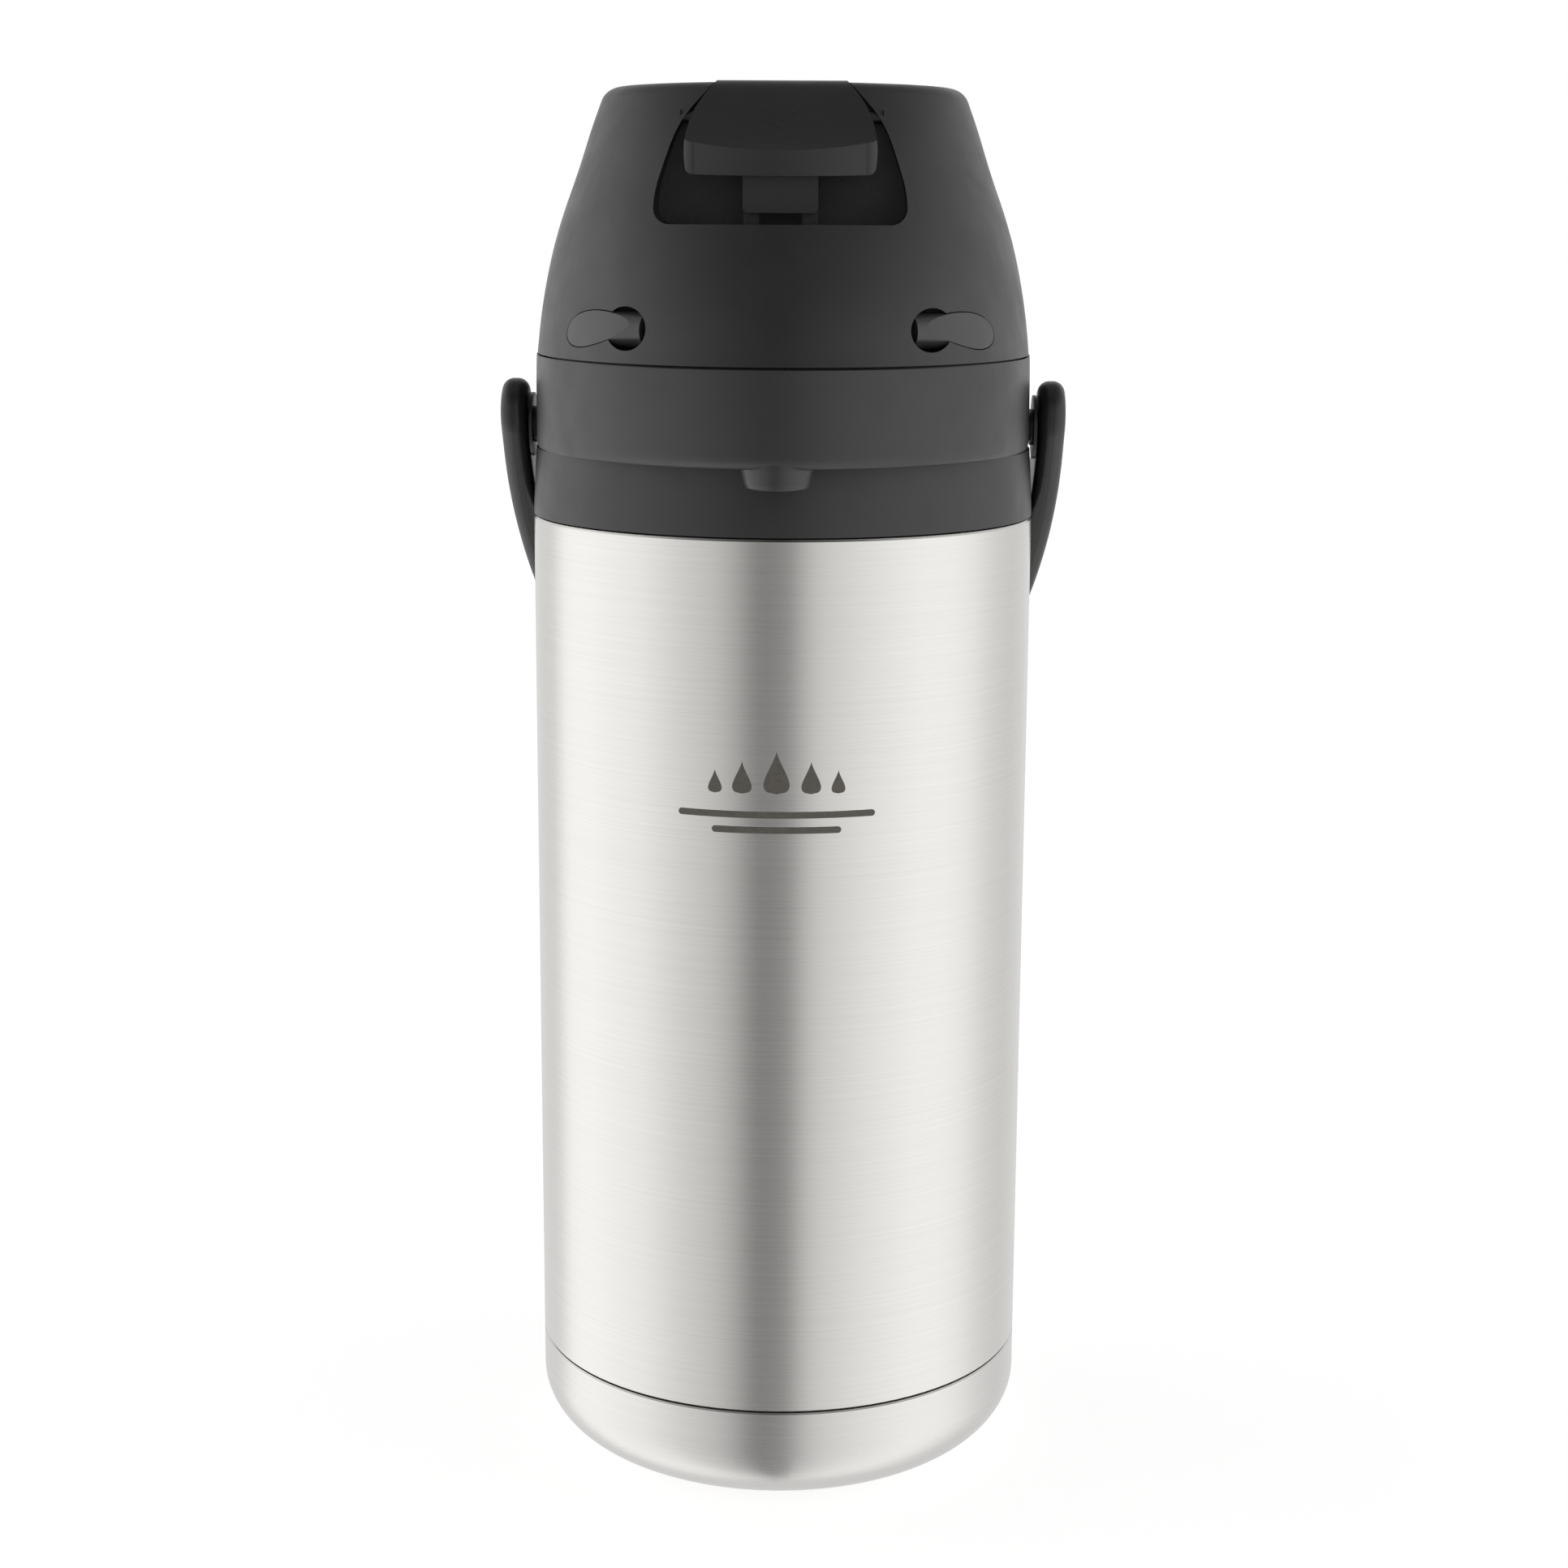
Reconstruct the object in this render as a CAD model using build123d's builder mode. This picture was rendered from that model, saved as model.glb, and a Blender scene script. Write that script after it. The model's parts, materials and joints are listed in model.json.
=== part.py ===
from build123d import *
import os
from math import cos, radians, sin

os.makedirs("parts", exist_ok=True)

# Millimetres. Z is up, the table is z = 0, the beak points to -Y, X runs across.
# The vertical axis of the flask is the Z axis.

# Flask body
body_radius = 75.0
cup_flat_radius = 46.0
cup_flat_height = 3.0
cup_round_top = 24.7
cup_top = 37.4
shell_bottom = 38.0
shell_top = 295.2
collar_bottom = 296.3
collar_top = 316.5

# Beak housing, the upper band
housing_floor_top = 320.0
housing_top = 343.2

# Lid hood
hood_bottom = 344.0
hood_top = 420.2
hood_wall = 2.6

# Outlet
nozzle_y = -85.8
nozzle_radius = 10.2
nozzle_seat = 318.0
dip_tube_y = -22.0
air_hole_radius = 2.2
pipe_height = 331.5

# Carry handle
pivot_height = 322.0
arm_inner_x = 76.0
arm_outer_x = 84.0
bow_start = 5.0
bow_depth = 154.0
grip_width = 14.0
handle_drop = 53.0

# Lid hinge
hinge_y = 81.0
hinge_height = 343.6
hinge_barrel_radius = 5.0

# Latch
latch_pivot_y = -43.0
latch_pivot_z = 410.5

# Pump
pump_y = 8.0
button_radius = 30.0
well_radius = 30.4
well_wall = 2.2

# Release pins in the front corners of the hood
peg_x = 52.0
peg_y = -63.6
peg_z = 352.7
peg_radius = 5.0
peg_angle = 32.2
pocket_x = 41.7
pocket_z = 353.2
pocket_radius = 5.9


def turned(points, y=0.0, mode=Mode.ADD):
    """Solid of revolution about a vertical axis through (radius, height) corners."""
    with BuildSketch(Plane.XZ.offset(-y)) as profile:
        with BuildLine():
            Polyline(*points, close=True)
        make_face()
    revolve(profile.sketch, axis=Axis((0, y, 0), (0, 0, 1)), mode=mode)


def egg(height, half_width, front, rear):
    """Plan outline: a half ellipse toward the beak and another toward the hinge."""
    with BuildSketch(Plane.XY.offset(height)) as outline:
        with BuildLine():
            EllipticalCenterArc((0, 0), half_width, front, 180, arc_size=180)
            EllipticalCenterArc((0, 0), half_width, rear, 0, arc_size=180)
        make_face()
    return outline.sketch


def bar_along_x(x_from, x_to, y, z, radius, mode=Mode.ADD):
    """Round bar parallel to X."""
    with BuildSketch(Plane.YZ.offset(x_from)) as disc:
        with Locations((y, z)):
            Circle(radius)
    extrude(disc.sketch, amount=x_to - x_from, mode=mode)


def block(x, y, z, mode=Mode.ADD):
    """Box given by its (from, to) limits on the three axes."""
    with Locations(((x[0] + x[1]) / 2, (y[0] + y[1]) / 2, (z[0] + z[1]) / 2)):
        Box(abs(x[1] - x[0]), abs(y[1] - y[0]), abs(z[1] - z[0]), mode=mode)


def coil(base, direction, radius, length, turns, wire):
    """Open coil spring from a base point along a direction."""
    with BuildLine() as path:
        Helix(pitch=length / turns, height=length, radius=radius, center=base, direction=direction)
    wire_path = path.edges()[0]
    with BuildSketch(Plane(origin=wire_path @ 0, z_dir=wire_path % 0)) as section:
        Circle(wire / 2)
    sweep(section.sketch, path=wire_path, is_frenet=True)


# ---------------------------------------------------------------- swivel base

with BuildPart() as foot_pad:
    turned([(0, 0), (40.4, 0), (41.0, 0.5), (41.0, 1.8), (0, 1.8)])

with BuildPart() as swivel_disc:
    turned(
        [
            (2.6, 4.0),
            (2.6, 13.2),
            (8.0, 13.2),
            (8.0, 6.0),
            (32.0, 6.0),
            (32.0, 9.8),
            (36.0, 9.8),
            (36.0, 6.0),
            (41.2, 6.0),
            (41.8, 5.4),
            (41.8, 1.8),
            (0, 1.8),
            (0, 4.0),
        ]
    )

with BuildPart() as swivel_washer:
    turned([(2.7, 13.2), (14.0, 13.2), (14.0, 14.8), (2.7, 14.8)])

with BuildPart() as swivel_screw:
    turned([(0, 5.0), (2.5, 5.0), (2.5, 14.8), (5.5, 14.8), (5.5, 16.6), (4.4, 17.6), (0, 17.6)])
    for size in ((5.0, 1.0), (1.0, 5.0)):
        with BuildSketch(Plane.XY.offset(17.6)):
            Rectangle(*size)
        extrude(amount=-1.4, mode=Mode.SUBTRACT)

# ---------------------------------------------------------------- base cup and vacuum flask

with BuildPart() as base_cup:
    with BuildSketch(Plane.XZ):
        with BuildLine():
            arc_out = EllipticalCenterArc(
                (cup_flat_radius, cup_round_top),
                body_radius - cup_flat_radius,
                cup_round_top - cup_flat_height,
                270,
                arc_size=90,
            )
            Polyline(arc_out @ 1, (body_radius, cup_top - 0.4), (body_radius - 0.4, cup_top))
            Polyline((body_radius - 0.4, cup_top), (72.3, cup_top), (72.3, cup_round_top))
            arc_in = EllipticalCenterArc((cup_flat_radius, cup_round_top), 26.3, 19.0, 270, arc_size=90)
            Polyline(
                arc_in @ 0,
                (45.0, arc_in.position_at(0).Y),
                (45.0, 13.0),
                (8.06, 13.0),
                (8.06, 10.0),
                (42.4, 10.0),
                (42.4, cup_flat_height),
                arc_out @ 0,
            )
        make_face()
    revolve(axis=Axis.Z)

with BuildPart() as outer_shell:
    turned(
        [
            (71.9, 26.0),
            (71.9, 37.6),
            (74.7, shell_bottom),
            (body_radius, shell_bottom + 0.3),
            (body_radius, shell_top),
            (74.6, shell_top + 0.6),
            (73.4, 296.2),
            (60.0, 303.6),
            (37.5, 312.0),
            (37.5, 321.0),
            (36.5, 321.0),
            (36.5, 311.2),
            (59.6, 302.6),
            (73.0, 295.2),
            (74.0, 294.4),
            (74.0, 39.0),
            (70.9, 38.4),
            (70.9, 26.0),
        ]
    )

with BuildPart() as jacket_bottom:
    turned([(0, 29), (60, 29), (66, 26), (70.7, 26), (70.7, 27), (66.3, 27), (60.3, 30), (0, 30)])

with BuildPart() as vacuum_cap:
    turned([(0, 24), (10, 24), (12, 25.5), (12, 29), (0, 29)])

with BuildPart() as inner_vessel:
    turned(
        [
            (0, 42.0),
            (56.0, 42.0),
            (64.0, 45.4),
            (68.0, 54.0),
            (68.0, 284.0),
            (64.0, 288.6),
            (35.5, 304.0),
            (35.5, 321.0),
            (38.0, 321.0),
            (38.0, 322.0),
            (34.5, 322.0),
            (34.5, 303.4),
            (63.4, 287.8),
            (67.0, 283.6),
            (67.0, 54.4),
            (63.4, 46.2),
            (55.8, 43.0),
            (0, 43.0),
        ]
    )

with BuildPart() as neck_nut:
    turned([(38.0, 316.5), (41.0, 316.5), (41.0, 320.4), (40.4, 321.0), (38.0, 321.0)])
    with BuildSketch(Plane.XY.offset(321.0)):
        with PolarLocations(41.0, 8):
            Circle(1.0)
    extrude(amount=-4.5, mode=Mode.SUBTRACT)

with BuildPart() as neck_gasket:
    turned([(34.8, 322.0), (38.2, 322.0), (38.2, 323.5), (34.8, 323.5)])

with BuildPart() as neck_plate:
    turned(
        [
            (air_hole_radius, 316.0),
            (34.0, 316.0),
            (34.0, 323.5),
            (39.0, 323.5),
            (39.0, 325.6),
            (38.6, 326.0),
            (air_hole_radius, 326.0),
        ]
    )
    with BuildSketch(Plane.XY.offset(326.0)):
        with Locations((0, dip_tube_y)):
            Circle(4.1)
    extrude(amount=-10, mode=Mode.SUBTRACT)

with BuildPart() as dip_tube:
    with BuildSketch(Plane.XY.offset(47.0)):
        with Locations((0, dip_tube_y)):
            Circle(4.0)
            Circle(3.0, mode=Mode.SUBTRACT)
    extrude(amount=326.0 - 47.0)

with BuildPart() as foot_strainer:
    with BuildSketch(Plane.XY.offset(43.0)):
        with Locations((0, dip_tube_y)):
            Circle(7.0)
    extrude(amount=15.0)
    fillet(foot_strainer.edges().filter_by(GeomType.CIRCLE).sort_by(Axis.Z)[-1], 1.5)
    with BuildSketch(Plane.XY.offset(47.0)):
        with Locations((0, dip_tube_y)):
            Circle(4.1)
    extrude(amount=12.0, mode=Mode.SUBTRACT)
    with BuildSketch(Plane.XY.offset(43.0)):
        with Locations((0, dip_tube_y)):
            Circle(3.0)
            Rectangle(16, 1.6)
            Rectangle(1.6, 16)
    extrude(amount=4.0, mode=Mode.SUBTRACT)

with BuildPart() as shoulder_collar:
    turned(
        [
            (body_radius, collar_bottom),
            (74.9, 300.0),
            (74.5, 308.0),
            (74.0, 315.9),
            (73.4, collar_top),
            (38.0, collar_top),
            (38.0, 313.7),
            (71.4, 313.7),
            (72.0, 298.4),
            (74.0, collar_bottom),
        ]
    )
    with BuildSketch(Plane.XY.offset(collar_top)):
        with PolarLocations(60.0, 4, start_angle=45):
            Circle(1.7)
    extrude(amount=-4, mode=Mode.SUBTRACT)

# ---------------------------------------------------------------- beak housing

housing_sections = [
    (collar_top, 73.0, 92.0, 73.7),
    (317.4, 73.4, 95.2, 74.4),
    (319.6, 73.6, 96.8, 74.8),
    (325.0, 73.6, 97.4, 75.0),
    (334.0, 73.5, 97.8, 75.1),
    (housing_top, 73.2, 98.0, 75.1),
]

with BuildPart() as housing_void:
    extrude(egg(housing_floor_top, 71.2, 93.4, 71.8), amount=40)
    for side in (-1, 1):
        bar_along_x(side * 67.5, side * 76.0, 0, pivot_height + 4.0, 9.0, mode=Mode.SUBTRACT)

with BuildPart() as beak_housing:
    loft([egg(*section) for section in housing_sections])
    # Hinge knuckles on the rear wall: one in the middle and one at each end
    for x_from, x_to in ((-8.0, 8.0), (-26.0, -18.4), (18.4, 26.0)):
        bar_along_x(x_from, x_to, hinge_y, hinge_height, hinge_barrel_radius)
        block((x_from, x_to), (60.0, hinge_y), (332.0, 340.6))
    add(housing_void.part, mode=Mode.SUBTRACT)
    bar_along_x(-30, 30, hinge_y, hinge_height, 2.05, mode=Mode.SUBTRACT)
    # Bores of the handle pivots, with slots in the floor for the pin heads
    for side in (-1, 1):
        bar_along_x(side * 60, side * 80, 0, pivot_height, 4.1, mode=Mode.SUBTRACT)
        block((side * 60, side * 67.5), (-5.6, 5.6), (316.0, pivot_height), mode=Mode.SUBTRACT)
    # Seat and hole of the nozzle, then the neck opening and screw holes through the floor
    for radius, height in ((nozzle_radius, nozzle_seat), (7.6, 323.0)):
        with BuildSketch(Plane.XY.offset(height)):
            with Locations((0, nozzle_y)):
                Circle(radius)
        extrude(amount=-9.0, mode=Mode.SUBTRACT)
    with BuildSketch(Plane.XY.offset(housing_floor_top)):
        Circle(41.5)
        with PolarLocations(60.0, 4, start_angle=45):
            Circle(1.7)
    extrude(amount=-6, mode=Mode.SUBTRACT)

with BuildPart() as collar_screws:
    with BuildSketch(Plane.XY.offset(313.0)):
        with PolarLocations(60.0, 4, start_angle=45):
            Circle(1.6)
    extrude(amount=housing_floor_top - 313.0)
    with BuildSketch(Plane.XY.offset(housing_floor_top)):
        with PolarLocations(60.0, 4, start_angle=45):
            Circle(3.4)
    extrude(amount=2.0)
    with BuildSketch(Plane.XY.offset(housing_floor_top + 2.0)):
        with PolarLocations(60.0, 4, start_angle=45):
            Rectangle(3.6, 0.8)
            Rectangle(0.8, 3.6)
    extrude(amount=-1.2, mode=Mode.SUBTRACT)

with BuildPart() as spout_nozzle:
    turned(
        [
            (4.2, 311.0),
            (8.0, 311.0),
            (8.8, 311.4),
            (9.2, 312.4),
            (nozzle_radius - 0.1, collar_top),
            (nozzle_radius - 0.1, nozzle_seat),
            (7.4, nozzle_seat),
            (7.4, 322.0),
            (4.2, 322.0),
        ],
        y=nozzle_y,
    )

with BuildPart() as outlet_pipe:
    with BuildLine() as pipe_path:
        FilletPolyline(
            (0, dip_tube_y, 326.0),
            (0, dip_tube_y, pipe_height),
            (0, nozzle_y, pipe_height),
            (0, nozzle_y, 318.0),
            radius=5.4,
        )
    with BuildSketch(Plane.XY.offset(326.0)):
        with Locations((0, dip_tube_y)):
            Circle(4.0)
            Circle(3.0, mode=Mode.SUBTRACT)
    sweep(path=pipe_path.wires()[0])

with BuildPart() as latch_keeper:
    block((-16, 16), (-60, -44.5), (housing_floor_top, 322.0))
    for side in (-1, 1):
        low, high = sorted((side * 12.6, side * 15.6))
        block((low, high), (-50, -44.5), (322.0, 340.0))
        low, high = sorted((side * 5.4, side * 12.6))
        block((low, high), (-50, -44.5), (336.6, 340.0))

# ---------------------------------------------------------------- carry handle and pivots

handle_pins = []
handle_washers = []
for side in (-1, 1):
    with BuildPart() as handle_pin:
        bar_along_x(side * 64.0, side * 67.5, 0, pivot_height, 5.2)
        bar_along_x(side * 67.5, side * 81.2, 0, pivot_height, 4.0)
        bar_along_x(side * 81.2, side * 83.2, 0, pivot_height, 5.8)
        fillet(handle_pin.edges().filter_by(GeomType.CIRCLE).sort_by(Axis.X)[-1 if side > 0 else 0], 0.6)
    handle_pins.append(handle_pin)
    with BuildPart() as handle_washer:
        bar_along_x(side * 74.0, side * 74.8, 0, pivot_height, 5.4)
        bar_along_x(side * 74.8, side * 75.7, 0, pivot_height, 9.5)
        bar_along_x(side * 70, side * 80, 0, pivot_height, 4.15, mode=Mode.SUBTRACT)
    handle_washers.append(handle_washer)

bail_plane = Plane(
    origin=(0, 0, pivot_height),
    x_dir=(1, 0, 0),
    z_dir=(0, sin(radians(handle_drop)), cos(radians(handle_drop))),
)

with BuildPart() as carry_handle:
    # Local Y runs down the bail from the pivots to the grip
    with BuildSketch(bail_plane.offset(-10)):
        with BuildLine():
            Line((-arm_outer_x, -14.5), (-arm_outer_x, bow_start))
            EllipticalCenterArc((0, bow_start), arm_outer_x, bow_depth, 180, arc_size=-180)
            Line((arm_outer_x, bow_start), (arm_outer_x, -14.5))
            Line((arm_outer_x, -14.5), (arm_inner_x, -14.5))
            Line((arm_inner_x, -14.5), (arm_inner_x, bow_start))
            EllipticalCenterArc((0, bow_start), arm_inner_x, bow_depth - grip_width, 0, arc_size=180)
            Line((-arm_inner_x, bow_start), (-arm_inner_x, -14.5))
            Line((-arm_inner_x, -14.5), (-arm_outer_x, -14.5))
        make_face()
    extrude(amount=20.0)
    # Rounded arm ends seen from the side, then softened rims all along the bow
    fillet(carry_handle.edges().filter_by(Axis.X), 9.4)
    fillet(carry_handle.edges().filter_by(GeomType.ELLIPSE), 3.4)
    for side in (-1, 1):
        bar_along_x(side * 70, side * 90, 0, pivot_height, 4.05, mode=Mode.SUBTRACT)
        bar_along_x(side * 81.0, side * 90, 0, pivot_height, 6.1, mode=Mode.SUBTRACT)

# ---------------------------------------------------------------- lid hood

hood_sections = [
    (hood_bottom, 73.0, 97.6, 75.0),
    (350.0, 72.4, 94.6, 74.8),
    (357.0, 71.5, 91.2, 74.2),
    (364.0, 70.3, 87.3, 73.3),
    (372.0, 68.6, 82.3, 71.6),
    (380.0, 66.4, 76.8, 69.2),
    (388.0, 63.7, 70.8, 66.2),
    (396.0, 60.8, 64.6, 62.8),
    (404.6, 58.0, 57.6, 59.0),
    (412.2, 55.4, 50.6, 55.6),
    (hood_top, 52.8, 43.0, 52.0),
]
recess_side = [
    (16.5, 423.0),
    (20.2, 418.7),
    (23.9, 414.5),
    (27.2, 410.3),
    (30.1, 404.6),
    (32.6, 397.2),
    (34.2, 391.7),
    (34.9, 386.2),
]
recess_back = -36.9
recess_floor = 381.0
plate_bottom = 341.6
plate_top = 344.6
screw_spots = [(50, 35), (-50, 35), (44, -46), (-44, -46)]


def recess(grow, y_back):
    """Arch-shaped finger recess, open at the front and the top, run back to y_back."""
    side = [(x + grow, z) for x, z in recess_side]
    low = recess_floor - grow
    with BuildSketch(Plane.XZ.offset(120)) as arch:
        with BuildLine():
            Spline(*side)
            ThreePointArc(side[-1], (33.7 + grow, low + 1.5), (30.2 + grow, low))
            Line((30.2 + grow, low), (-30.2 - grow, low))
            ThreePointArc((-30.2 - grow, low), (-33.7 - grow, low + 1.5), (-side[-1][0], side[-1][1]))
            Spline(*[(-x, z) for x, z in reversed(side)])
            Line((-side[0][0], side[0][1]), side[0])
        make_face()
    return extrude(arch.sketch, amount=-(120 + y_back), mode=Mode.PRIVATE)


def peg_bar(side, radius, start, end):
    """Round bar on a release pin's axis, from start to end along it, inward positive."""
    inward = Vector(-side * cos(radians(peg_angle)), -sin(radians(peg_angle)), 0)
    seat = Vector(side * peg_x, peg_y, peg_z)
    with BuildSketch(Plane(origin=seat + inward * start, z_dir=inward)) as disc:
        Circle(radius)
    return extrude(disc.sketch, amount=end - start, mode=Mode.PRIVATE)


def peg_pocket(side, radius, y_back):
    """Round hole seen from the front beside a release pin."""
    with BuildSketch(Plane.XZ.offset(120)) as disc:
        with Locations((side * pocket_x, pocket_z)):
            Circle(radius)
    return extrude(disc.sketch, amount=-(120 + y_back), mode=Mode.PRIVATE)


with BuildPart() as hood_form:
    loft([egg(*section) for section in hood_sections])
    fillet(hood_form.faces().sort_by(Axis.Z)[-1].edges(), 6.0)

inner_sections = hood_sections[:-1] + [(hood_top - hood_wall, 51.6, 42.0, 51.0)]

with BuildPart() as hood_void:
    loft([egg(z, a - hood_wall, b - hood_wall, c - hood_wall) for z, a, b, c in inner_sections])
    # Walls of the finger recess and the rib that holds the latch spring
    add(recess(2.2, -34.7), mode=Mode.SUBTRACT)
    block((-12, 12), (-40.0, -34.7), (362.0, 385.0), mode=Mode.SUBTRACT)
    # Guide tubes of the release pins
    for side in (-1, 1):
        add(peg_bar(side, 6.6, -14.0, 30.5), mode=Mode.SUBTRACT)
        add(peg_pocket(side, pocket_radius + 1.4, -60.4), mode=Mode.SUBTRACT)
    # Well of the press plate
    with BuildSketch(Plane.XY.offset(380.0)):
        with Locations((0, pump_y)):
            Circle(well_radius + well_wall)
    extrude(amount=45.0, mode=Mode.SUBTRACT)
    # Posts for the lid screws, with ribs to the side walls
    for x, y in screw_spots:
        with BuildSketch(Plane.XY.offset(340.0)):
            with Locations((x, y)):
                Circle(4.0)
        extrude(amount=20.0, mode=Mode.SUBTRACT)
        block((x, 80.0 if x > 0 else -80.0), (y - 1.0, y + 1.0), (340.0, 360.0), mode=Mode.SUBTRACT)

with BuildPart() as lid_hood:
    add(hood_form.part)
    add(hood_void.part, mode=Mode.SUBTRACT)
    # The base plate sits up inside the rim, under the posts
    extrude(egg(340.0, 70.9, 93.0, 71.4), amount=plate_top - 340.0, mode=Mode.SUBTRACT)
    add(recess(0, recess_back), mode=Mode.SUBTRACT)
    # Slot in the recess floor for the latch legs
    block((-11.6, 11.6), (-62.5, -49.4), (376.0, 382.0), mode=Mode.SUBTRACT)
    # Well for the press plate
    turned([(0, 379.0), (well_radius, 379.0), (well_radius, 425.0), (0, 425.0)], y=pump_y, mode=Mode.SUBTRACT)
    # Release pin bores and the round pockets beside them
    for side in (-1, 1):
        add(peg_bar(side, peg_radius + 0.3, -14.0, 29.0), mode=Mode.SUBTRACT)
        add(peg_pocket(side, pocket_radius, -62.0), mode=Mode.SUBTRACT)
    # Holes for the latch pin and the lid screws
    bar_along_x(-28.4, 28.4, latch_pivot_y, latch_pivot_z, 1.9, mode=Mode.SUBTRACT)
    for x, y in screw_spots:
        with BuildSketch(Plane.XY.offset(plate_top)):
            with Locations((x, y)):
                Circle(1.7)
        extrude(amount=11.0, mode=Mode.SUBTRACT)
    # Hinge knuckles, two, between those of the housing
    for side in (-1, 1):
        bar_along_x(side * 8.4, side * 18.0, hinge_y, hinge_height, hinge_barrel_radius)
        block((side * 8.4, side * 18.0), (70.0, hinge_y), (344.8, 348.4))
    bar_along_x(-30, 30, hinge_y, hinge_height, 2.05, mode=Mode.SUBTRACT)

with BuildPart() as lid_base_plate:
    extrude(egg(plate_bottom, 70.6, 92.8, 71.2), amount=plate_top - plate_bottom)
    turned([(28.6, plate_top), (30.4, plate_top), (30.4, 347.2), (28.6, 347.2)], y=pump_y)
    turned([(0, 329.0), (12.0, 329.0), (12.0, plate_bottom), (0, plate_bottom)])
    turned([(0, 328.0), (8.0, 328.0), (8.0, 350.0), (0, 350.0)], mode=Mode.SUBTRACT)
    block((-11.6, 11.6), (-71.0, -49.4), (340.0, 346.0), mode=Mode.SUBTRACT)
    with BuildSketch(Plane.XY.offset(plate_top)):
        with Locations(*screw_spots):
            Circle(1.7)
    extrude(amount=-4.0, mode=Mode.SUBTRACT)

with BuildPart() as lid_gasket:
    turned([(8.2, 326.2), (12.6, 326.2), (13.2, 326.8), (13.2, 329.0), (8.2, 329.0)])

with BuildPart() as lid_hinge_pin:
    bar_along_x(-26.0, 26.0, hinge_y, hinge_height, 2.0)
    chamfer(lid_hinge_pin.edges().filter_by(GeomType.CIRCLE), 0.4)

with BuildPart() as lid_screws:
    for x, y in screw_spots:
        with BuildSketch(Plane.XY.offset(plate_bottom)):
            with Locations((x, y)):
                Circle(1.6)
        extrude(amount=13.0)
        with BuildSketch(Plane.XY.offset(plate_bottom)):
            with Locations((x, y)):
                Circle(3.4)
        extrude(amount=-1.8)
        with BuildSketch(Plane.XY.offset(plate_bottom - 1.8)):
            with Locations((x, y)):
                Rectangle(3.6, 0.8)
                Rectangle(0.8, 3.6)
        extrude(amount=1.1, mode=Mode.SUBTRACT)

# ---------------------------------------------------------------- pump

with BuildPart() as press_plate:
    turned(
        [
            (3.2, 394.4),
            (27.8, 394.4),
            (27.8, 392.0),
            (button_radius, 392.0),
            (button_radius, hood_top - 0.8),
            (button_radius - 0.8, hood_top),
            (25.5, hood_top),
            (23.0, hood_top - 1.2),
            (3.2, hood_top - 1.2),
            (3.2, 414.6),
            (27.8, 414.6),
            (27.8, 396.8),
            (3.2, 396.8),
        ],
        y=pump_y,
    )

with BuildPart() as intake_valve:
    turned([(0, 390.5), (2.0, 390.5), (2.9, 392.0), (2.9, 396.8), (8.0, 396.8), (8.0, 398.2), (0, 398.2)], y=pump_y)

with BuildPart() as bellows:
    folds = 12
    rise = (394.2 - plate_top) / folds
    outside = [(22.6 if i % 2 == 0 else 26.8, plate_top + i * rise) for i in range(folds + 1)]
    inside = [(radius - 1.3, height) for radius, height in reversed(outside)]
    turned(outside + inside, y=pump_y)

with BuildPart() as return_spring:
    coil((0, pump_y, 345.8), (0, 0, 1), 14.0, 47.4, 6, 1.8)

# ---------------------------------------------------------------- latch

tab_side = [(16.0, 423.0), (19.7, 418.7), (22.7, 414.5), (24.8, 410.3), (26.1, 405.2), (26.5, 400.6), (26.2, 396.8)]

with BuildPart() as latch_tab:
    # Section through the tab, seen from the side
    with BuildSketch(Plane.YZ.offset(-30)):
        with BuildLine():
            Spline((-39.4, 420.6), (-42.6, 419.7), (-47.0, 416.4), (-53.4, 410.5), (-59.6, 404.9), (-66.5, 399.8))
            Polyline((-66.5, 399.8), (-66.5, 392.0), (-60.6, 392.0), (-57.0, 396.0), (-49.0, 400.0))
            Polyline((-49.0, 400.0), (-41.0, 404.0), (-39.4, 406.4), (-39.4, 420.6))
        make_face()
    extrude(amount=60)
    # Outline of the tab, seen from the front
    with BuildSketch(Plane.XZ.offset(120)):
        with BuildLine():
            Spline(*tab_side)
            ThreePointArc((26.2, 396.8), (25.6, 395.1), (24.0, 394.4))
            ThreePointArc((24.0, 394.4), (0, 394.0), (-24.0, 394.4))
            ThreePointArc((-24.0, 394.4), (-25.6, 395.1), (-26.2, 396.8))
            Spline(*[(-x, z) for x, z in reversed(tab_side)])
            Line((-16.0, 423.0), (16.0, 423.0))
        make_face()
    extrude(amount=-100, mode=Mode.INTERSECT)
    # Outline of the tab, seen from above
    with BuildSketch(Plane.XY.offset(380)):
        with BuildLine():
            ThreePointArc((-23.5, -62.0), (0, -64.9), (23.5, -62.0))
            ThreePointArc((23.5, -62.0), (27.0, -60.4), (28.4, -56.8))
            Polyline((28.4, -56.8), (28.4, -30.0), (-28.4, -30.0), (-28.4, -56.8))
            ThreePointArc((-28.4, -56.8), (-27.0, -60.4), (-23.5, -62.0))
        make_face()
    extrude(amount=50, mode=Mode.INTERSECT)

with BuildPart() as latch_lever:
    add(latch_tab.part)
    with BuildSketch(Plane.XZ.offset(59.0)):
        with BuildLine():
            Polyline((-10.4, 400.0), (-10.4, 385.2), (-9.4, 384.2), (9.4, 384.2), (10.4, 385.2), (10.4, 400.0), close=True)
        make_face()
    extrude(amount=-7.0)
    block((-10.4, 10.4), (-54.0, -50.5), (366.0, 376.0))
    for side in (-1, 1):
        block((side * 6.0, side * 10.4), (-54.0, -50.5), (332.0, 392.0))
        block((side * 6.0, side * 10.4), (-50.5, -46.2), (332.0, 336.2))
    bar_along_x(-30, 30, latch_pivot_y, latch_pivot_z, 1.85, mode=Mode.SUBTRACT)

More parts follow.
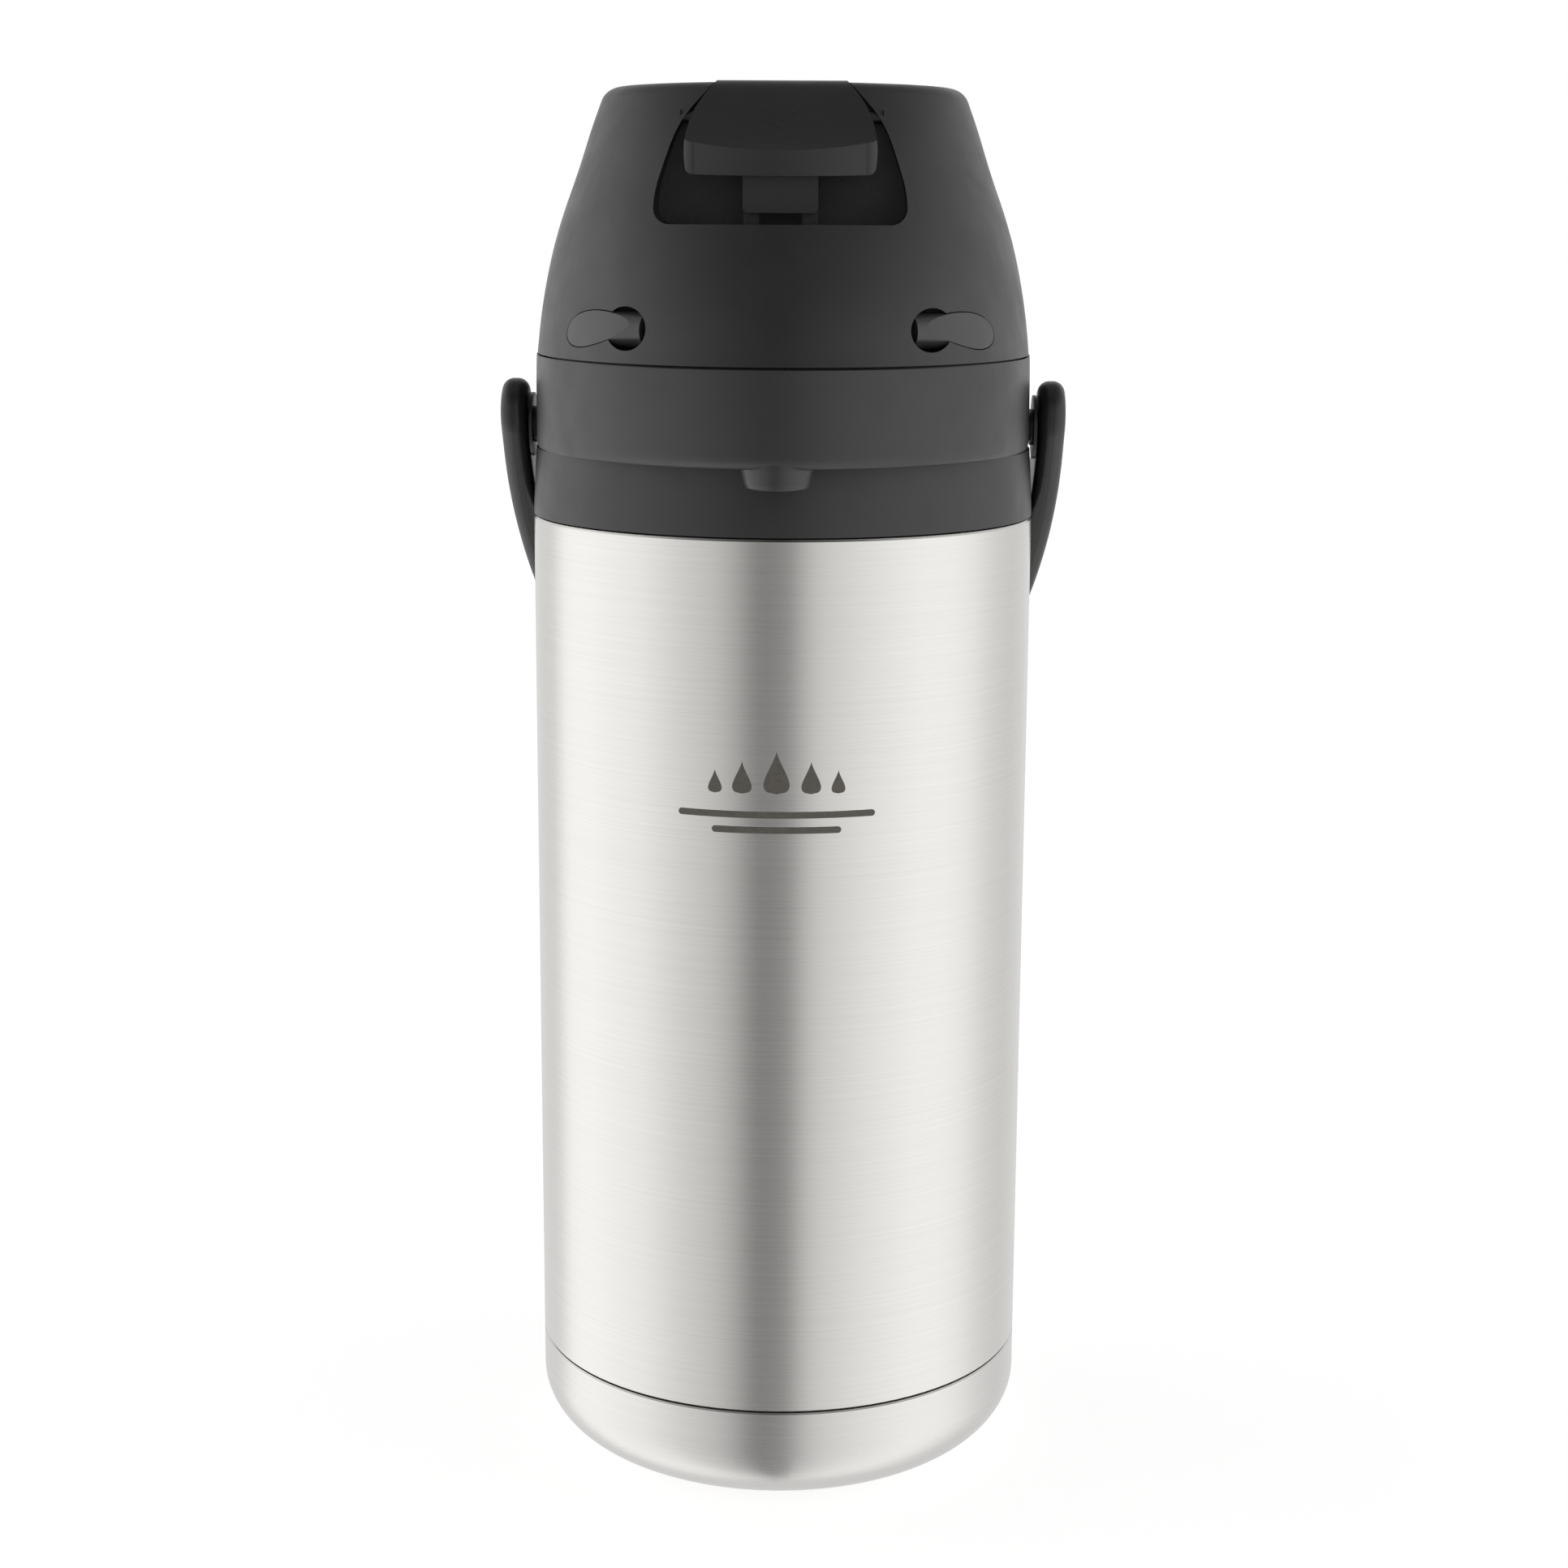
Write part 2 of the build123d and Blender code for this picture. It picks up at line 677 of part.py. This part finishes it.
with BuildPart() as latch_pin:
    bar_along_x(-28.2, 28.2, latch_pivot_y, latch_pivot_z, 1.8)

with BuildPart() as latch_spring:
    coil((0, -49.9, 371.0), (0, 1, 0), 3.4, 9.3, 5, 0.9)

# ---------------------------------------------------------------- release pins

pegs = []
peg_springs = []
for side in (-1, 1):
    with BuildPart() as peg:
        add(peg_bar(side, peg_radius, -14.0, 20.0))
        add(hood_form.part, mode=Mode.INTERSECT)
    pegs.append(peg)
    with BuildPart() as peg_spring:
        inward = Vector(-side * cos(radians(peg_angle)), -sin(radians(peg_angle)), 0)
        coil(Vector(side * peg_x, peg_y, peg_z) + inward * 23.7, inward, 3.2, 4.8, 3, 0.8)
    peg_springs.append(peg_spring)

for name, piece in {
    "foot_pad": foot_pad,
    "swivel_disc": swivel_disc,
    "swivel_washer": swivel_washer,
    "swivel_screw": swivel_screw,
    "base_cup": base_cup,
    "outer_shell": outer_shell,
    "jacket_bottom": jacket_bottom,
    "vacuum_cap": vacuum_cap,
    "inner_vessel": inner_vessel,
    "neck_nut": neck_nut,
    "neck_gasket": neck_gasket,
    "neck_plate": neck_plate,
    "dip_tube": dip_tube,
    "foot_strainer": foot_strainer,
    "shoulder_collar": shoulder_collar,
    "beak_housing": beak_housing,
    "collar_screws": collar_screws,
    "spout_nozzle": spout_nozzle,
    "outlet_pipe": outlet_pipe,
    "latch_keeper": latch_keeper,
    "handle_pin_left": handle_pins[0],
    "handle_pin_right": handle_pins[1],
    "handle_washer_left": handle_washers[0],
    "handle_washer_right": handle_washers[1],
    "carry_handle": carry_handle,
    "lid_hood": lid_hood,
    "lid_base_plate": lid_base_plate,
    "lid_gasket": lid_gasket,
    "lid_hinge_pin": lid_hinge_pin,
    "lid_screws": lid_screws,
    "press_plate": press_plate,
    "intake_valve": intake_valve,
    "bellows": bellows,
    "return_spring": return_spring,
    "latch_lever": latch_lever,
    "latch_pin": latch_pin,
    "latch_spring": latch_spring,
    "release_pin_left": pegs[0],
    "release_pin_right": pegs[1],
    "release_spring_left": peg_springs[0],
    "release_spring_right": peg_springs[1],
}.items():
    piece.part.label = name
    export_step(piece.part, f"parts/{name}.step")
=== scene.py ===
import json
import math

import bmesh
import bpy
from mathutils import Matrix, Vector
from mathutils.bvhtree import BVHTree


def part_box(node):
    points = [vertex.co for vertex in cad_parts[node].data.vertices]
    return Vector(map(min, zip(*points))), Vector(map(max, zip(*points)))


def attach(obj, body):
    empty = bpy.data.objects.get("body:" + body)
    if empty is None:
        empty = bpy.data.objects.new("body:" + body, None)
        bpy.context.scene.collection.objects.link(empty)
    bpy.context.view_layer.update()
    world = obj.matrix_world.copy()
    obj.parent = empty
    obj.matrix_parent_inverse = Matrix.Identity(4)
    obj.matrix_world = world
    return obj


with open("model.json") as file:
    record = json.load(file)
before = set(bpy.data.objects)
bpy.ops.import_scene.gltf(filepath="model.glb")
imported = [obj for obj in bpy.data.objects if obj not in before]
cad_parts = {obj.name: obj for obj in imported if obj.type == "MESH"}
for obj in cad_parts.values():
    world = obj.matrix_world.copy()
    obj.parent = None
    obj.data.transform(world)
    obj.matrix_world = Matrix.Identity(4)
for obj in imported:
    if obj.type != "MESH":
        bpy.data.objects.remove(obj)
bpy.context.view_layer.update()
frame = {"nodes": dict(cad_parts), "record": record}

nodes = frame["nodes"]
scene = bpy.context.scene

# ---------------------------------------------------------------- material helpers


def new_material(name):
    """An empty node material with its Principled shader and output wired."""
    mat = bpy.data.materials.new(name)
    mat.use_nodes = True
    tree = mat.node_tree
    tree.nodes.clear()
    out = tree.nodes.new("ShaderNodeOutputMaterial")
    shader = tree.nodes.new("ShaderNodeBsdfPrincipled")
    tree.links.new(shader.outputs[0], out.inputs[0])
    return mat, tree, shader


def noise(tree, scale, detail, rough=0.5, stretch=(1, 1, 1)):
    """Noise on the object's own coordinates, stretched by a scale per axis."""
    coords = tree.nodes.new("ShaderNodeTexCoord")
    mapping = tree.nodes.new("ShaderNodeMapping")
    mapping.inputs["Scale"].default_value = stretch
    tex = tree.nodes.new("ShaderNodeTexNoise")
    tex.inputs["Scale"].default_value = scale
    tex.inputs["Detail"].default_value = detail
    tex.inputs["Roughness"].default_value = rough
    tree.links.new(coords.outputs["Object"], mapping.inputs["Vector"])
    tree.links.new(mapping.outputs[0], tex.inputs["Vector"])
    return tex.outputs["Fac"]


def remap(tree, value, low, high, from_low=0.3, from_high=0.7):
    """Map Range from a noise value to low..high."""
    node = tree.nodes.new("ShaderNodeMapRange")
    node.inputs["From Min"].default_value = from_low
    node.inputs["From Max"].default_value = from_high
    node.inputs["To Min"].default_value = low
    node.inputs["To Max"].default_value = high
    tree.links.new(value, node.inputs["Value"])
    return node.outputs[0]


def mix_colour(tree, fac, a, b):
    """Blend of two colours by a value."""
    node = tree.nodes.new("ShaderNodeMix")
    node.data_type = "RGBA"
    # A mix node has one set of sockets per data type; these are the colour ones
    node.inputs[6].default_value = (*a, 1)
    node.inputs[7].default_value = (*b, 1)
    tree.links.new(fac, node.inputs[0])
    return node.outputs[2]


def bump(tree, height, distance, strength, normal=None):
    """Bump node over a height value."""
    node = tree.nodes.new("ShaderNodeBump")
    node.inputs["Strength"].default_value = strength
    node.inputs["Distance"].default_value = distance
    tree.links.new(height, node.inputs["Height"])
    if normal is not None:
        tree.links.new(normal, node.inputs["Normal"])
    return node.outputs[0]


def moulded_plastic(name, colour, lighter, rough, grain=2600.0, grain_depth=0.00004):
    """Dark moulded plastic: spark-eroded grain, faint cloudiness and uneven gloss."""
    coarse_depth = 0.00003
    mat, tree, shader = new_material(name)
    cloud = noise(tree, 34.0, 4.0, 0.55)
    gloss = noise(tree, 90.0, 4.0, 0.6)
    tree.links.new(mix_colour(tree, remap(tree, cloud, 0, 1), colour, lighter), shader.inputs["Base Color"])
    tree.links.new(remap(tree, gloss, rough - 0.04, rough + 0.05), shader.inputs["Roughness"])
    fine = noise(tree, grain, 2.0, 0.6)
    coarse = noise(tree, 420.0, 2.0, 0.5)
    normal = bump(tree, coarse, coarse_depth, 0.5)
    normal = bump(tree, fine, grain_depth, 0.7, normal)
    tree.links.new(normal, shader.inputs["Normal"])
    shader.inputs["Specular IOR Level"].default_value = 0.62
    return mat


def brushed_steel(name, colour, lighter, rough):
    """Stainless steel with a fine circular grain and highlights drawn out across it."""
    # Scales per axis: the lines are long round the body and very fine up it
    hair_stretch = (24, 24, 9000)
    streak_stretch = (9, 9, 2400)
    streak_share = 0.55
    hair_depth = 0.00002
    waviness = 0.0006
    mat, tree, shader = new_material(name)
    shader.inputs["Metallic"].default_value = 1.0
    shader.inputs["Anisotropic"].default_value = 0.75
    shader.inputs["Anisotropic Rotation"].default_value = 0.25
    tangent = tree.nodes.new("ShaderNodeTangent")
    tangent.direction_type = "RADIAL"
    tangent.axis = "Z"
    tree.links.new(tangent.outputs[0], shader.inputs["Tangent"])
    hair = noise(tree, 1.0, 3.0, 0.65, hair_stretch)
    streak = noise(tree, 1.0, 4.0, 0.6, streak_stretch)
    patch = noise(tree, 9.0, 3.0, 0.5)
    tone = tree.nodes.new("ShaderNodeMath")
    tone.operation = "MULTIPLY_ADD"
    tone.inputs[1].default_value = streak_share
    tree.links.new(streak, tone.inputs[0])
    hair_tone = tree.nodes.new("ShaderNodeMath")
    hair_tone.operation = "MULTIPLY"
    hair_tone.inputs[1].default_value = 1 - streak_share
    tree.links.new(hair, hair_tone.inputs[0])
    tree.links.new(hair_tone.outputs[0], tone.inputs[2])
    mix = remap(tree, tone.outputs[0], 0, 1, 0.38, 0.62)
    tree.links.new(mix_colour(tree, mix, colour, lighter), shader.inputs["Base Color"])
    tree.links.new(remap(tree, streak, rough - 0.03, rough + 0.03), shader.inputs["Roughness"])
    normal = bump(tree, patch, waviness, 0.06)
    normal = bump(tree, hair, hair_depth, 0.5, normal)
    tree.links.new(normal, shader.inputs["Normal"])
    return mat


def plain_metal(name, colour, rough):
    """Bright hardware with slight scuffing."""
    dulled = tuple(c * 0.85 for c in colour)
    scuff_depth = 0.00001
    mat, tree, shader = new_material(name)
    shader.inputs["Metallic"].default_value = 1.0
    scuff = noise(tree, 260.0, 5.0, 0.6)
    tree.links.new(mix_colour(tree, remap(tree, scuff, 0, 1), dulled, colour), shader.inputs["Base Color"])
    tree.links.new(remap(tree, scuff, rough, rough + 0.12), shader.inputs["Roughness"])
    tree.links.new(bump(tree, scuff, scuff_depth, 0.4), shader.inputs["Normal"])
    return mat


def soft_polymer(name, colour, darker, rough, sheen=0.0):
    """Rubber or silicone with a fine powdery surface."""
    powder_depth = 0.00003
    mat, tree, shader = new_material(name)
    cloud = noise(tree, 150.0, 4.0, 0.6)
    tree.links.new(mix_colour(tree, remap(tree, cloud, 0, 1), darker, colour), shader.inputs["Base Color"])
    tree.links.new(remap(tree, cloud, rough, rough + 0.1), shader.inputs["Roughness"])
    tree.links.new(bump(tree, noise(tree, 1800.0, 2.0), powder_depth, 0.6), shader.inputs["Normal"])
    shader.inputs["Sheen Weight"].default_value = sheen
    return mat


# ---------------------------------------------------------------- materials

looks = {
    "shell_steel": brushed_steel("shell_steel_look", (0.70, 0.69, 0.665), (0.745, 0.735, 0.71), 0.24),
    "cup_steel": brushed_steel("cup_steel_look", (0.69, 0.68, 0.66), (0.735, 0.725, 0.705), 0.26),
    "vessel_steel": brushed_steel("vessel_steel_look", (0.55, 0.55, 0.54), (0.68, 0.68, 0.66), 0.3),
    "tube_steel": plain_metal("tube_steel_look", (0.7, 0.7, 0.69), 0.2),
    "hardware_steel": plain_metal("hardware_look", (0.74, 0.74, 0.73), 0.22),
    "hood_plastic": moulded_plastic("hood_look", (0.0125, 0.0125, 0.013), (0.0155, 0.0155, 0.016), 0.38),
    "button_plastic": moulded_plastic("button_look", (0.0115, 0.0115, 0.012), (0.0145, 0.0145, 0.015), 0.36),
    "housing_plastic": moulded_plastic(
        "housing_look", (0.0125, 0.0125, 0.013), (0.0155, 0.0155, 0.016), 0.38
    ),
    "collar_plastic": moulded_plastic("collar_look", (0.0115, 0.0115, 0.012), (0.0145, 0.0145, 0.015), 0.36),
    "nozzle_plastic": moulded_plastic("nozzle_look", (0.016, 0.016, 0.0165), (0.019, 0.019, 0.0195), 0.36),
    "latch_plastic": moulded_plastic("latch_look", (0.0095, 0.0095, 0.01), (0.012, 0.012, 0.0125), 0.36),
    # Pin plastic: base colour about three times lighter than the hood's, a painted highlight standing in for
    # light caught on the pegs' end faces
    "pin_plastic": moulded_plastic("pin_painted_highlight_look", (0.034, 0.034, 0.0348), (0.04, 0.04, 0.0408), 0.34),
    "handle_plastic": moulded_plastic(
        "handle_look", (0.006, 0.006, 0.0063), (0.008, 0.008, 0.0083), 0.32, 2200.0, 0.00002
    ),
    "base_plastic": moulded_plastic("base_look", (0.02, 0.02, 0.0205), (0.026, 0.026, 0.0265), 0.5),
    "bellows_plastic": soft_polymer("bellows_look", (0.62, 0.61, 0.58), (0.52, 0.51, 0.48), 0.45),
    "seal_silicone": soft_polymer("silicone_look", (0.6, 0.6, 0.57), (0.52, 0.52, 0.5), 0.5),
    "foot_rubber": soft_polymer("rubber_look", (0.03, 0.03, 0.03), (0.018, 0.018, 0.018), 0.75, 0.1),
}
slot_of = {row["node"]: row.get("material_slot", row["node"]) for row in frame["record"]["subparts"]}
for name, obj in nodes.items():
    obj.data.materials.clear()
    obj.data.materials.append(looks[slot_of[name]])

# ---------------------------------------------------------------- printed and moulded marks

shell_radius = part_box("outer_shell")[1].x
mark_height = 0.224
mark_lift = 0.00006
# Each size of drop: its distance from the middle, on both sides, and its height
drop_sizes = [(0.0, 0.0122), (0.0098, 0.0092), (0.0176, 0.0066)]
drop_foot = 0.0002
drop_slimness = 0.66
drop_tip = 0.00002
# Each bar below the drops: half its width, its lower edge and its upper edge
bar_sizes = [(0.0285, -0.0068, -0.0049), (0.0185, -0.0112, -0.0093)]


def on_shell(across, up):
    """Point on the shell's front, across measured round the surface from the middle."""
    turn = across / shell_radius
    reach = shell_radius + mark_lift
    return Vector((reach * math.sin(turn), -reach * math.cos(turn), mark_height + up))


def printed(name, strips):
    """Thin print on the shell; each strip is a list of rows of points, one row above the next."""
    mesh = bpy.data.meshes.new(name)
    bm = bmesh.new()
    for strip in strips:
        rows = [[bm.verts.new(on_shell(*point)) for point in row] for row in strip]
        for one, two in zip(rows, rows[1:]):
            for i in range(len(one) - 1):
                bm.faces.new([one[i], one[i + 1], two[i + 1], two[i]])
    bmesh.ops.recalc_face_normals(bm, faces=bm.faces)
    bm.to_mesh(mesh)
    bm.free()
    obj = bpy.data.objects.new(name, mesh)
    scene.collection.objects.link(obj)
    for face in mesh.polygons:
        face.use_smooth = True
    mesh.materials.append(print_look)
    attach(obj, "flask")


def spread(left, right, up, steps):
    """Points from left to right at one height, so that a strip follows the curve of the shell."""
    return [(left + (right - left) * i / steps, up) for i in range(steps + 1)]


def drop_strip(centre, low, height, width):
    """A drop: round below, drawn to a point above."""
    steps = 24
    rows = []
    for i in range(steps + 1):
        share = i / steps
        half = drop_tip
        if 0 < i < steps:
            half = width / 2 * math.sin(math.pi * share ** 0.5) ** 0.9 * (1 - share) ** 0.35
        rows.append(spread(centre - half, centre + half, low + height * share, 4))
    return rows


def bar_strip(left, right, low, high):
    """A plain horizontal bar with rounded ends."""
    steps = 12
    radius = (high - low) / 2
    rows = []
    for i in range(steps + 1):
        angle = math.pi * i / steps
        inset = radius * (1 - math.sin(angle))
        rows.append(spread(left + inset, right - inset, (low + high) / 2 - radius * math.cos(angle), 10))
    return rows


print_look, tree, shader = new_material("print_look")
wear = noise(tree, 900.0, 4.0, 0.6)
ink = mix_colour(tree, remap(tree, wear, 0, 1), (0.085, 0.078, 0.066), (0.115, 0.106, 0.092))
tree.links.new(ink, shader.inputs["Base Color"])
tree.links.new(remap(tree, wear, 0.45, 0.6), shader.inputs["Roughness"])
tree.links.new(bump(tree, wear, 0.000004, 0.5), shader.inputs["Normal"])
shader.inputs["Metallic"].default_value = 0.25

drops = []
for place, tall in drop_sizes:
    for side in ((-1, 1) if place else (1,)):
        drops.append(drop_strip(side * place, drop_foot, tall, tall * drop_slimness))
bars = [bar_strip(-half, half, low, high) for half, low, high in bar_sizes]
printed("drop_mark", drops)
printed("drop_mark_bars", bars)


def surface_above(node):
    """A function that gives the height of a CAD node's upper surface over a point."""
    mesh = nodes[node].data
    points = [v.co for v in mesh.vertices]
    surface = BVHTree.FromPolygons(points, [p.vertices[:] for p in mesh.polygons])
    above = 1.0

    def height(x, y):
        return surface.ray_cast(Vector((x, y, above)), Vector((0, 0, -1)))[0].z

    return height


def latch_chevrons():
    """Two raised chevrons on the latch tab, pointing at its front edge."""
    setbacks = (0.0078, 0.0110)
    span = 0.0112
    steps = 16
    slope = 0.45
    lift = 0.00022
    line_width = 0.0012
    thickness = 0.0006
    edge_softness = 0.00012
    height = surface_above("latch_lever")
    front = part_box("latch_lever")[0].y
    mesh = bpy.data.meshes.new("latch_chevrons")
    bm = bmesh.new()
    for back in setbacks:
        rows = []
        for i in range(steps + 1):
            across = (i / steps - 0.5) * span
            y = front + back + abs(across) * slope
            depths = [y, y + line_width / 2, y + line_width]
            rows.append([bm.verts.new((across, d, height(across, d) + lift)) for d in depths])
        for one, two in zip(rows, rows[1:]):
            for j in range(2):
                bm.faces.new([one[j], two[j], two[j + 1], one[j + 1]])
    bmesh.ops.recalc_face_normals(bm, faces=bm.faces)
    bm.to_mesh(mesh)
    bm.free()
    obj = bpy.data.objects.new("latch_chevrons", mesh)
    scene.collection.objects.link(obj)
    thick = obj.modifiers.new("thickness", "SOLIDIFY")
    thick.thickness = thickness
    thick.offset = -1
    soften = obj.modifiers.new("soften", "BEVEL")
    soften.width = edge_softness
    soften.segments = 2
    mesh.materials.append(looks["latch_plastic"])
    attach(obj, "latch")


latch_chevrons()

# ---------------------------------------------------------------- stage, lights, camera


def stage_floor():
    """Large pale floor disc under the object, a little self-lit so that it meets the white behind."""
    radius = 14.0
    own_light = 0.6
    mesh = bpy.data.meshes.new("floor")
    bm = bmesh.new()
    bmesh.ops.create_circle(bm, cap_ends=True, segments=96, radius=radius)
    bm.to_mesh(mesh)
    bm.free()
    obj = bpy.data.objects.new("floor", mesh)
    scene.collection.objects.link(obj)
    mat, tree, shader = new_material("floor_look")
    tone = remap(tree, noise(tree, 3.0, 2.0), 0, 1)
    pale = mix_colour(tree, tone, (0.84, 0.84, 0.84), (0.86, 0.86, 0.86))
    tree.links.new(pale, shader.inputs["Base Color"])
    shader.inputs["Roughness"].default_value = 0.9
    shader.inputs["Specular IOR Level"].default_value = 0.1
    shader.inputs["Emission Color"].default_value = (1, 1, 1, 1)
    shader.inputs["Emission Strength"].default_value = own_light
    mesh.materials.append(mat)
    # The lower studio panels show in the steel, and not the floor
    obj.visible_glossy = False


stage_floor()

# The camera stands close in front, about level with the lid, looking down a little
camera_azimuth = math.radians(1.0)
camera_distance = 0.8188
camera_height = 0.3800
camera_side_step = 0.0008
camera_tilt = math.radians(11.61)
camera_roll = math.radians(0.301)
camera_lens = 62.06
studio_strength = 1.28
backdrop_strength = 1.0


def studio_world():
    """Soft studio: broad bright panels at the sides, a narrow dim gap at the front, white behind."""
    world = bpy.data.worlds.new("studio")
    scene.world = world
    world.use_nodes = True
    tree = world.node_tree
    tree.nodes.clear()
    out = tree.nodes.new("ShaderNodeOutputWorld")
    coords = tree.nodes.new("ShaderNodeTexCoord")
    split = tree.nodes.new("ShaderNodeSeparateXYZ")
    tree.links.new(coords.outputs["Generated"], split.inputs[0])

    def math_node(operation, a, b=None):
        node = tree.nodes.new("ShaderNodeMath")
        node.operation = operation
        for i, value in enumerate((a, b)):
            if value is None:
                continue
            if isinstance(value, (int, float)):
                node.inputs[i].default_value = value
            else:
                tree.links.new(value, node.inputs[i])
        return node.outputs[0]

    # Angle round from the camera's place, as a share of a turn: 0.5 towards it, 0 and 1 away from it
    angle = math_node("ARCTAN2", split.outputs["X"], math_node("MULTIPLY", split.outputs["Y"], -1.0))
    turn = math_node("DIVIDE", math_node("SUBTRACT", angle, camera_azimuth), 2 * math.pi)
    place = math_node("FRACT", math_node("ADD", turn, 1.5))
    ramp = tree.nodes.new("ShaderNodeValToRGB")
    ramp.color_ramp.interpolation = "LINEAR"
    tree.links.new(place, ramp.inputs[0])
    # Degrees round from the camera's place, negative to the left, and brightness
    behind_left = [(-180, 0.66), (-150, 0.62), (-132, 0.66)]
    left_panel = [(-118, 0.98), (-100, 1.0), (-68, 0.88), (-45, 0.66), (-30, 0.55), (-20, 0.4)]
    dim_gap = [(-11, 0.2), (-5, 0.23), (4, 0.27), (9, 0.46)]
    right_panel = [(17, 0.62), (40, 0.8), (65, 0.94), (82, 0.95), (96, 0.88), (112, 0.7)]
    behind_right = [(130, 0.6), (150, 0.62), (180, 0.66)]
    panels = behind_left + left_panel + dim_gap + right_panel + behind_right
    elements = ramp.color_ramp.elements
    while len(elements) < len(panels):
        elements.new(0.5)
    for element, (degrees, _) in zip(elements, panels):
        element.position = degrees / 360 + 0.5
    for element, (_, level) in zip(elements, panels):
        element.color = (level, level, level, 1)
    # Less light from high up
    rise = tree.nodes.new("ShaderNodeValToRGB")
    rise.color_ramp.interpolation = "EASE"
    for element, (at, level) in zip(rise.color_ramp.elements, [(0.3, 1.0), (0.95, 0.25)]):
        element.position = at
        element.color = (level, level, level, 1)
    tree.links.new(split.outputs["Z"], rise.inputs[0])
    brightness = math_node("MULTIPLY", ramp.outputs[0], rise.outputs[0])
    studio = tree.nodes.new("ShaderNodeBackground")
    tree.links.new(brightness, studio.inputs["Color"])
    studio.inputs["Strength"].default_value = studio_strength
    backdrop = tree.nodes.new("ShaderNodeBackground")
    backdrop.inputs["Color"].default_value = (1, 1, 1, 1)
    backdrop.inputs["Strength"].default_value = backdrop_strength
    paths = tree.nodes.new("ShaderNodeLightPath")
    pick = tree.nodes.new("ShaderNodeMixShader")
    tree.links.new(paths.outputs["Is Camera Ray"], pick.inputs[0])
    tree.links.new(studio.outputs[0], pick.inputs[1])
    tree.links.new(backdrop.outputs[0], pick.inputs[2])
    tree.links.new(pick.outputs[0], out.inputs[0])


studio_world()

camera_data = bpy.data.cameras.new("camera")
camera_data.sensor_width = 36.0
camera_data.lens = camera_lens
camera_data.clip_start = 0.05
camera_data.clip_end = 60.0
camera = bpy.data.objects.new("camera", camera_data)
scene.collection.objects.link(camera)
camera.location = (
    camera_distance * math.sin(camera_azimuth) + camera_side_step,
    -camera_distance * math.cos(camera_azimuth),
    camera_height,
)
camera.rotation_mode = "XYZ"
camera.rotation_euler = (math.pi / 2 - camera_tilt, 0, camera_azimuth)
bpy.context.view_layer.update()
camera.rotation_euler.rotate_axis("Z", camera_roll)
scene.camera = camera

scene.view_settings.view_transform = "Standard"
scene.view_settings.look = "None"
